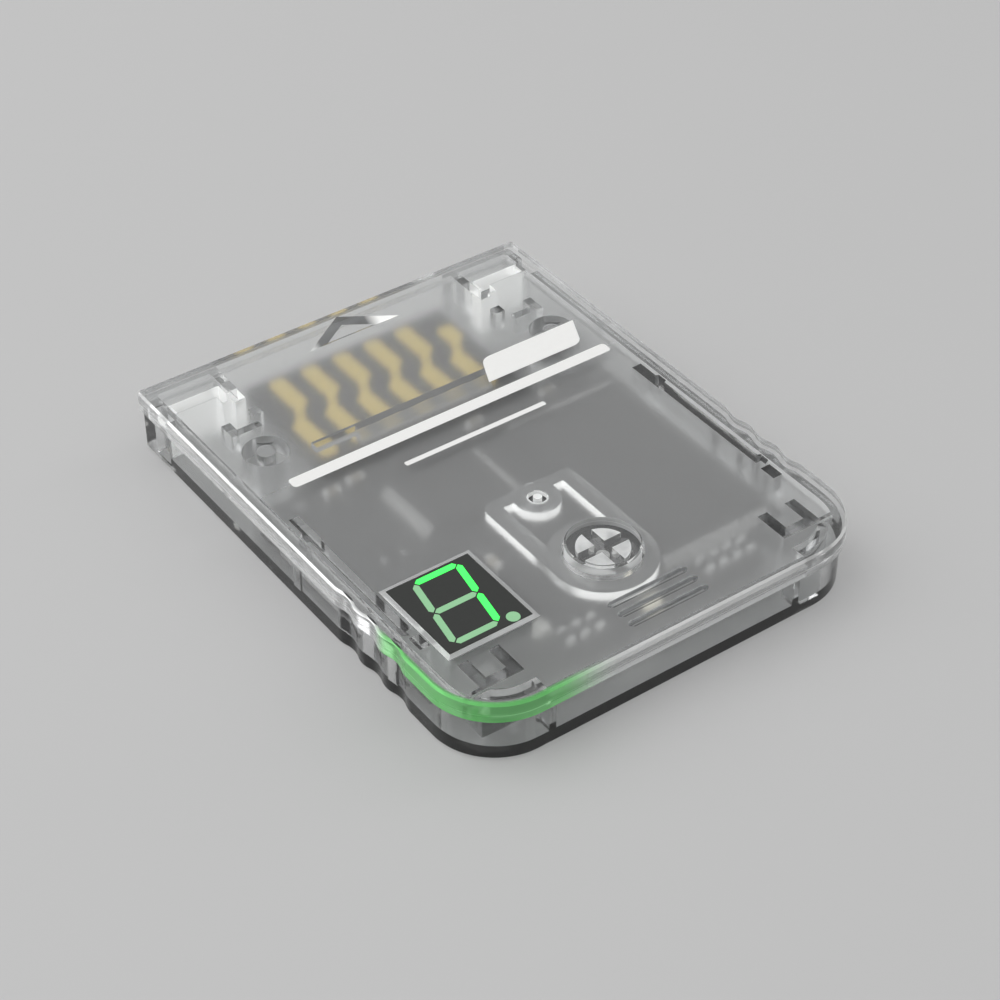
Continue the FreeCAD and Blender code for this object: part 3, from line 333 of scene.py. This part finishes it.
def moulded_polycarbonate_button():
    """Clear polycarbonate with a polished cap.

    The four pockets under the cap are left matte by the mould and carry a painted glow, while the
    cross between them stays clear. The near side walls of the flange, the arms and the bridge, those
    facing the front left, are matte and carry a painted highlight that stands in for the light that
    runs inside the plate. The underside is finely frosted.
    """
    card = bpy.context.scene.card_colours
    made, tree = material("moulded_polycarbonate_button")
    place = add(tree, "TexCoord").outputs["Object"]
    x, y, z = add(tree, "SeparateXYZ", {0: place}).outputs
    pocket = add(tree, "Math", {0: z, 1: 6.07 * MM, 2: 0.03 * MM}, operation="COMPARE").outputs[0]
    under = add(tree, "Math", {0: z, 1: 4.25 * MM, 2: 0.02 * MM}, operation="COMPARE").outputs[0]
    level = add(tree, "Math", {0: z, 1: 4.725 * MM, 2: 0.45 * MM}, operation="COMPARE").outputs[0]
    shape = add(tree, "NewGeometry")
    facing = add(tree, "VectorMath", {0: shape.outputs["True Normal"], 1: (-0.59, -0.81, 0.0)},
                 operation="DOT_PRODUCT").outputs["Value"]
    near = add(tree, "MapRange", {"Value": facing, "From Min": 0.1, "From Max": 0.45}).outputs[0]
    near = add(tree, "Math", {0: near, 1: shape.outputs["Backfacing"]}, operation="SUBTRACT",
               use_clamp=True).outputs[0]
    from_cap = add(tree, "VectorMath", {0: place, 1: (0.0, -15.4 * MM, 4.725 * MM)},
                   operation="DISTANCE").outputs["Value"]
    outside = add(tree, "Math", {0: from_cap, 1: 3.5 * MM}, operation="GREATER_THAN").outputs[0]
    along = add(tree, "Math", {0: y, 1: -14.8 * MM}, operation="SUBTRACT").outputs[0]
    off = add(tree, "Math", {0: along}, operation="ABSOLUTE").outputs[0]
    ends = add(tree, "MapRange", {"Value": off, "From Min": 2.0 * MM, "From Max": 2.9 * MM,
                                  "To Min": 0.12, "To Max": 1.0}).outputs[0]
    walls = add(tree, "Math", {0: level, 1: near}, operation="MULTIPLY").outputs[0]
    walls = add(tree, "Math", {0: walls, 1: outside}, operation="MULTIPLY").outputs[0]
    walls = add(tree, "Math", {0: walls, 1: ends}, operation="MULTIPLY").outputs[0]
    flat = add(tree, "VectorMath", {0: place, 1: (1, 1, 0)}, operation="MULTIPLY").outputs[0]
    from_axis = add(tree, "VectorMath", {0: flat, 1: (0.0, -15.4 * MM, 0.0)},
                    operation="DISTANCE").outputs["Value"]
    ring = add(tree, "Math", {0: from_axis, 1: 2.8 * MM, 2: 0.55 * MM}, operation="COMPARE").outputs[0]
    above = add(tree, "Math", {0: z, 1: 6.05 * MM, 2: 1.05 * MM}, operation="COMPARE").outputs[0]
    ring = add(tree, "Math", {0: ring, 1: above}, operation="MULTIPLY").outputs[0]
    matte = add(tree, "Math", {0: pocket, 1: 0.65, 2: walls}, operation="MULTIPLY_ADD").outputs[0]
    matte = add(tree, "Math", {0: ring, 1: 0.5, 2: matte}, operation="MULTIPLY_ADD").outputs[0]
    matte = add(tree, "Math", {0: under, 1: 0.07, 2: matte}, operation="MULTIPLY_ADD").outputs[0]
    rough = add(tree, "MapRange", {"Value": matte, "To Min": 0.02, "To Max": 0.6}).outputs[0]
    clear = add(tree, "MapRange", {"Value": matte, "To Min": 1.0, "To Max": 0.1}).outputs[0]
    # Painted light on the near walls and the pockets, given off in the ink colour.
    painted_light = add(tree, "Math", {0: walls, 1: 0.8}, operation="MULTIPLY").outputs[0]
    painted_light = add(tree, "Math", {0: pocket, 1: graded(tree, place, 1.2, 0.0, 0.28), 2: painted_light},
                   operation="MULTIPLY_ADD").outputs[0]
    plastic = add(tree, "BsdfPrincipled", {
        "Base Color": rgba(card.plastic), "Roughness": rough, "IOR": 1.585, "Transmission Weight": clear,
        "Normal": wavy(tree, place, 5.0, 0.002), "Emission Color": rgba(card.ink),
        "Emission Strength": painted_light}).outputs[0]
    add(tree, "OutputMaterial", {"Surface": lamps_pass(tree, plastic, (0.85, 0.85, 0.85, 1.0))})
    return made


def lacquered_laminate():
    """Glass-fibre board under black solder mask: satin lacquer over copper tracks that show as ridges."""
    made, tree = material("lacquered_laminate")
    base = rgba(bpy.context.scene.card_colours.mask)
    place = add(tree, "TexCoord").outputs["Object"]
    tracks = add(tree, "TexBrick", {"Vector": place, "Scale": 1.0, "Mortar Size": 0.15 * MM,
                                    "Brick Width": 4.2 * MM, "Row Height": 0.9 * MM,
                                    "Color1": (1, 1, 1, 1), "Color2": (0.6, 0.6, 0.6, 1),
                                    "Mortar": (0, 0, 0, 1)})
    raised = tuple(part * 1.5 for part in base[:3]) + (1.0,)
    tint = add(tree, "Mix", {0: tracks.outputs["Color"], 6: base, 7: raised}, data_type="RGBA")
    bump = add(tree, "Bump", {"Height": tracks.outputs["Color"], "Distance": 0.03 * MM})
    board = add(tree, "BsdfPrincipled", {
        "Base Color": tint.outputs[2], "Roughness": graded(tree, place, 3.0, 0.35, 0.5), "IOR": 1.5,
        "Normal": bump.outputs[0]})
    add(tree, "OutputMaterial", {"Surface": board.outputs[0]})
    return made


def metal(name, base, low, high, grain, bare=1.0):
    """A plated or rolled metal face, dulled by a fine grain of the given size and by dull patches."""
    made, tree = material(name)
    place = add(tree, "TexCoord").outputs["Object"]
    face = add(tree, "BsdfPrincipled", {
        "Base Color": shaded(tree, place, grain * 6, rgba(base), 0.08), "Metallic": bare,
        "Roughness": graded(tree, place, grain, low, high), "Normal": wavy(tree, place, grain * 3, 0.002)})
    add(tree, "OutputMaterial", {"Surface": face.outputs[0]})
    return made


def solid_plastic(name, base, rough, grain, share=0.08):
    """An opaque moulded, fired or cured face: its gloss and tone drift at the size of its grain."""
    made, tree = material(name)
    place = add(tree, "TexCoord").outputs["Object"]
    face = add(tree, "BsdfPrincipled", {
        "Base Color": shaded(tree, place, grain * 4, rgba(base), share),
        "Roughness": graded(tree, place, grain, rough * 0.85, rough * 1.15), "IOR": 1.5,
        "Normal": wavy(tree, place, grain * 8, 0.002)})
    add(tree, "OutputMaterial", {"Surface": face.outputs[0]})
    return made


def glowing_resin(name, base, glow, strength):
    """Cured diffusing resin over a small lamp: even light that drifts a little over patches."""
    made, tree = material(name)
    place = add(tree, "TexCoord").outputs["Object"]
    face = add(tree, "BsdfPrincipled", {
        "Base Color": shaded(tree, place, 1.5, rgba(base), 0.05), "Roughness": 0.4, "IOR": 1.5,
        "Emission Color": rgba(glow),
        "Emission Strength": graded(tree, place, 2.0, strength * 0.9, strength * 1.1)})
    add(tree, "OutputMaterial", {"Surface": face.outputs[0]})
    return made


def rounded(points, radii, steps=8):
    """The corner points of a closed outline with each corner replaced by an arc of its own radius."""
    outline = []
    count = len(points)
    for number_, (point, radius) in enumerate(zip(points, radii)):
        here = Vector(point)
        before = (Vector(points[number_ - 1]) - here).normalized()
        after = (Vector(points[(number_ + 1) % count]) - here).normalized()
        if radius <= 0:
            outline.append(here)
            continue
        half = before.angle(after) / 2
        inward = (before + after).normalized()
        centre = here + inward * (radius / math.sin(half))
        start = here + before * (radius / math.tan(half)) - centre
        end = here + after * (radius / math.tan(half)) - centre
        sweep = start.angle_signed(end)
        for step in range(steps + 1):
            outline.append(centre + Matrix.Rotation(-sweep * step / steps, 2) @ start)
    return outline


def ink_patch(name, outline, made):
    """A flat printed mark on the cover's top face."""
    sizes = bpy.context.scene.card_sizes
    top = 6.5 * MM
    mesh = bpy.data.meshes.new(name)
    shape = bmesh.new()
    low = [shape.verts.new((x, y, top)) for x, y in outline]
    face = shape.faces.new(low)
    raised = bmesh.ops.extrude_face_region(shape, geom=[face])
    for item in raised["geom"]:
        if isinstance(item, bmesh.types.BMVert):
            item.co.z += sizes.ink_thickness
    bmesh.ops.recalc_face_normals(shape, faces=shape.faces)
    shape.to_mesh(mesh)
    shape.free()
    mesh.materials.append(made)
    patch = bpy.data.objects.new(name, mesh)
    bpy.context.scene.collection.objects.link(patch)
    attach(patch, "case")


class MEMORYCARD_OT_clear_case(bpy.types.Operator):
    """Finish the clear cover, tray and button"""
    bl_idname = "memory_card.clear_case"
    bl_label = "Clear case and button"

    def execute(self, context):
        dress(["top_cover"], moulded_polycarbonate_cover())
        dress(["bottom_shell"], moulded_polycarbonate_tray())
        dress(["mode_button"], moulded_polycarbonate_button())
        return {"FINISHED"}


class MEMORYCARD_OT_board(bpy.types.Operator):
    """Finish the circuit board and everything soldered to it"""
    bl_idname = "memory_card.board"
    bl_label = "Circuit board"

    def execute(self, context):
        card = context.scene.card_colours
        dress(["circuit_board"], lacquered_laminate())
        dress(["front_contacts", "rear_contacts"], metal("plated_gold", card.gold, 0.42, 0.55, 0.2, 0.6))
        dress(["display_pins", "switch_terminals", "controller_pins", "memory_pins", "regulator_pins",
               "capacitor_ends", "resistor_ends"], metal("dipped_tin", card.tin, 0.5, 0.65, 0.1, 0.2))
        dress(["controller_chip", "memory_chip", "regulator"],
              solid_plastic("moulded_epoxy", card.epoxy, 0.5, 0.12))
        dress(["clock_crystal"], metal("rolled_lid", card.crystal, 0.4, 0.55, 0.1, 0.2))
        dress(["capacitors"], solid_plastic("fired_ceramic", card.capacitor, 0.35, 0.1))
        dress(["resistors"], solid_plastic("glazed_ceramic", card.resistor, 0.25, 0.1))
        dress(["switch_body"], solid_plastic("moulded_nylon_switch", card.switch, 0.45, 0.2))
        dress(["switch_plunger"], solid_plastic("moulded_acetal_plunger", card.plunger, 0.35, 0.2))
        dress(["status_led"], glowing_resin("cured_lamp_resin", card.lamp, card.lamp, 0.45))
        return {"FINISHED"}


class MEMORYCARD_OT_display(bpy.types.Operator):
    """Finish the one-digit display"""
    bl_idname = "memory_card.display"
    bl_label = "Display"

    def execute(self, context):
        card = context.scene.card_colours
        dress(["display_housing"], solid_plastic("moulded_display_body", card.display_shell, 0.5, 0.3))
        dress(["display_face"], solid_plastic("matte_display_film", card.display_film, 0.42, 0.15))
        dress(["lit_segments"], glowing_resin("lit_bar_resin", card.bar_lit, card.bar_lit, 1.0))
        # The unlit bars carry a faint painted glow in the lit bars' green, though their own light is off.
        dress(["unlit_segments"], glowing_resin("unlit_bar_resin", card.bar_unlit, card.bar_lit, 0.06))
        return {"FINISHED"}


class MEMORYCARD_OT_print(bpy.types.Operator):
    """Print the blank tag, the long stripe and the short rule on the cover"""
    bl_idname = "memory_card.print_marks"
    bl_label = "Printed marks"

    def execute(self, context):
        sizes = context.scene.card_sizes
        ink = solid_plastic("screen_printed_ink", context.scene.card_colours.ink, 0.45, 0.15, 0.02)
        half = Vector((sizes.tag_length / 2, sizes.tag_height / 2))
        lean = 1.0 * MM
        middle = Vector((sizes.tag_x, sizes.tag_y))
        corners = [middle + Vector(place) for place in (
            (-half.x - lean / 2, -half.y), (half.x - lean, -half.y), (half.x + lean / 2, half.y),
            (-half.x + lean, half.y))]
        round_ = 1.3 * MM
        ink_patch("blank_tag", rounded(corners, (0, round_, 0, round_)), ink)
        for name, left, right, y, width in (
                ("long_stripe", sizes.stripe_left, sizes.stripe_right, sizes.stripe_y, sizes.stripe_width),
                ("short_rule", sizes.rule_left, sizes.rule_right, sizes.rule_y, sizes.rule_width)):
            tall = width / 2
            ends = ((left, y - tall), (right, y - tall), (right, y + tall), (left, y + tall))
            ink_patch(name, rounded(ends, (tall * 0.6,) * 4), ink)
        return {"FINISHED"}


def area_lamp(name, place, width, height, power):
    """A soft rectangular lamp that faces the card."""
    lamp = bpy.data.lights.new(name, "AREA")
    lamp.shape = "RECTANGLE"
    lamp.size = width
    lamp.size_y = height
    lamp.energy = power
    stand = bpy.data.objects.new(name, lamp)
    stand.location = place
    stand.rotation_mode = "QUATERNION"
    stand.rotation_quaternion = Vector(place).to_track_quat("Z", "Y")
    bpy.context.scene.collection.objects.link(stand)
    return stand


class MEMORYCARD_OT_stage(bpy.types.Operator):
    """Build the floor, the lamps, the room light and the camera"""
    bl_idname = "memory_card.stage"
    bl_label = "Studio"

    def execute(self, context):
        studio = context.scene.card_studio
        made, tree = material("painted_floor")
        place = add(tree, "TexCoord").outputs["Object"]
        paint = add(tree, "BsdfPrincipled", {
            "Base Color": shaded(tree, place, 60.0, rgba(studio.floor), 0.01), "Roughness": 0.55})
        add(tree, "OutputMaterial", {"Surface": paint.outputs[0]})
        mesh = bpy.data.meshes.new("floor")
        shape = bmesh.new()
        bmesh.ops.create_grid(shape, x_segments=1, y_segments=1, size=8.0)
        shape.to_mesh(mesh)
        shape.free()
        mesh.materials.append(made)
        floor = bpy.data.objects.new("floor", mesh)
        floor.location.z = -0.03 * MM
        context.scene.collection.objects.link(floor)

        world = bpy.data.worlds.new("room")
        world.use_nodes = True
        world.node_tree.nodes.clear()
        tree = world.node_tree
        up = add(tree, "SeparateXYZ", {0: add(tree, "TexCoord").outputs["Generated"]}).outputs[2]
        rise = add(tree, "MapRange", {"Value": up, "From Min": 0.1, "From Max": 1.0})
        sky = add(tree, "Mix", {0: rise.outputs[0], 6: rgba(studio.room_low), 7: rgba(studio.room_high)},
                  data_type="RGBA")
        light = add(tree, "Background", {"Color": sky.outputs[2], "Strength": 1.0})
        add(tree, "OutputWorld", {"Surface": light.outputs[0]})
        context.scene.world = world

        key = area_lamp("key_lamp", (-0.55, 0.38, 0.60), 1.10, 1.10, studio.key_power)
        side = area_lamp("side_lamp", (0.80, -0.10, 0.35), 0.25, 0.60, studio.side_power)
        for lamp in (key, side):
            lamp.visible_glossy = False

        lens = bpy.data.cameras.new("camera")
        lens.sensor_width = 36.0
        lens.lens = studio.lens
        lens.clip_start = 0.01
        lens.clip_end = 20.0
        camera = bpy.data.objects.new("camera", lens)
        context.scene.collection.objects.link(camera)
        turn, rise = studio.azimuth, studio.elevation
        back = Vector((math.sin(turn) * math.cos(rise), -math.cos(turn) * math.cos(rise), math.sin(rise)))
        camera.location = Vector(studio.aim) + back * studio.camera_distance
        camera.rotation_mode = "QUATERNION"
        look = (-back).to_track_quat("-Z", "Y").to_matrix()
        camera.rotation_quaternion = (look @ Matrix.Rotation(studio.roll, 3, "Z")).to_quaternion()
        context.scene.camera = camera
        context.scene.view_settings.view_transform = "Standard"
        context.scene.cycles.max_bounces = 24
        context.scene.cycles.transmission_bounces = 20
        context.scene.cycles.transparent_max_bounces = 24
        return {"FINISHED"}


class MEMORYCARD_PT_panel(bpy.types.Panel):
    """Lists the steps that dress the card."""
    bl_idname = "MEMORYCARD_PT_panel"
    bl_label = "Memory card"
    bl_space_type = "VIEW_3D"
    bl_region_type = "UI"
    bl_category = "Memory card"

    def draw(self, context):
        for operator in operators:
            self.layout.operator(operator.bl_idname)
        for group in (context.scene.card_colours, context.scene.card_sizes, context.scene.card_studio):
            box = self.layout.box()
            for name in group.bl_rna.properties.keys():
                if name not in ("rna_type", "name"):
                    box.prop(group, name)


operators = (MEMORYCARD_OT_clear_case, MEMORYCARD_OT_board, MEMORYCARD_OT_display, MEMORYCARD_OT_print,
             MEMORYCARD_OT_stage)
classes = (CardColours, CardSizes, StudioSettings) + operators + (MEMORYCARD_PT_panel,)


def register():
    """Adds the settings, the operators and the panel."""
    for item in classes:
        bpy.utils.register_class(item)
    bpy.types.Scene.card_colours = PointerProperty(type=CardColours)
    bpy.types.Scene.card_sizes = PointerProperty(type=CardSizes)
    bpy.types.Scene.card_studio = PointerProperty(type=StudioSettings)


def unregister():
    """Takes them away again."""
    del bpy.types.Scene.card_colours
    del bpy.types.Scene.card_sizes
    del bpy.types.Scene.card_studio
    for item in reversed(classes):
        bpy.utils.unregister_class(item)


def main():
    """Dresses the card step by step."""
    register()
    bpy.ops.memory_card.clear_case()
    bpy.ops.memory_card.board()
    bpy.ops.memory_card.display()
    bpy.ops.memory_card.print_marks()
    bpy.ops.memory_card.stage()


if __name__ == "__main__":
    main()
